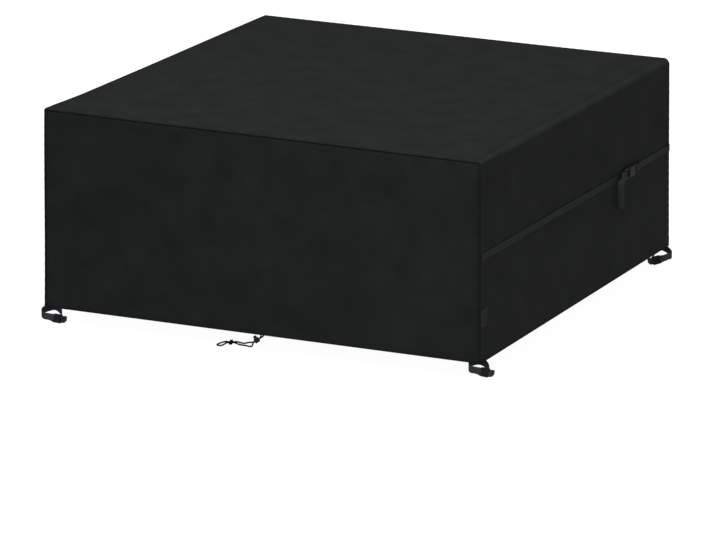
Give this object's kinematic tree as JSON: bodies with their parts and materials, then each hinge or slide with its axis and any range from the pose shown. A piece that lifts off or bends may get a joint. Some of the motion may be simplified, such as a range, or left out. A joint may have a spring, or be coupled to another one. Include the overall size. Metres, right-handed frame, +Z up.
{
  "type": "patio furniture cover",
  "caption": "Square box-shaped cloth cover, open below, with a side belt, a buckled webbing loop at each hem corner and a drawcord with a cord lock.",
  "frame": {"origin": "centre of the underside of the top panel, where the cover rests on the furniture", "axes": "+Z up, front with the drawcord towards -Y, side with the belt towards +X"},
  "size_m": [1.7235, 1.7162, 0.7758],
  "materials": {
    "coated_oxford": "matte black coated Oxford weave",
    "webbing": "matte dark grey woven webbing",
    "woven_tape": "satin dark grey woven tape",
    "moulded_acetal": "satin black moulded plastic",
    "braided_cord": "matte black braid"
  },
  "bodies": {
    "root": {"wrap_panel": "coated_oxford", "front_panel": "coated_oxford", "back_panel": "coated_oxford", "belt_front_run": "webbing", "belt_back_run": "webbing", "belt_buckle_tang": "moulded_acetal", "belt_buckle_socket": "moulded_acetal", "seam_tab": "woven_tape", "leg_strap_front_left": "webbing", "leg_buckle_tang_front_left": "moulded_acetal", "leg_buckle_socket_front_left": "moulded_acetal", "leg_strap_front_right": "webbing", "leg_buckle_tang_front_right": "moulded_acetal", "leg_buckle_socket_front_right": "moulded_acetal", "leg_strap_back_right": "webbing", "leg_buckle_tang_back_right": "moulded_acetal", "leg_buckle_socket_back_right": "moulded_acetal", "leg_strap_back_left": "webbing", "leg_buckle_tang_back_left": "moulded_acetal", "leg_buckle_socket_back_left": "moulded_acetal", "drawcord": "braided_cord", "cord_lock_body": "moulded_acetal", "cord_lock_button": "moulded_acetal", "cord_knot": "braided_cord"}
  },
  "joints": []
}
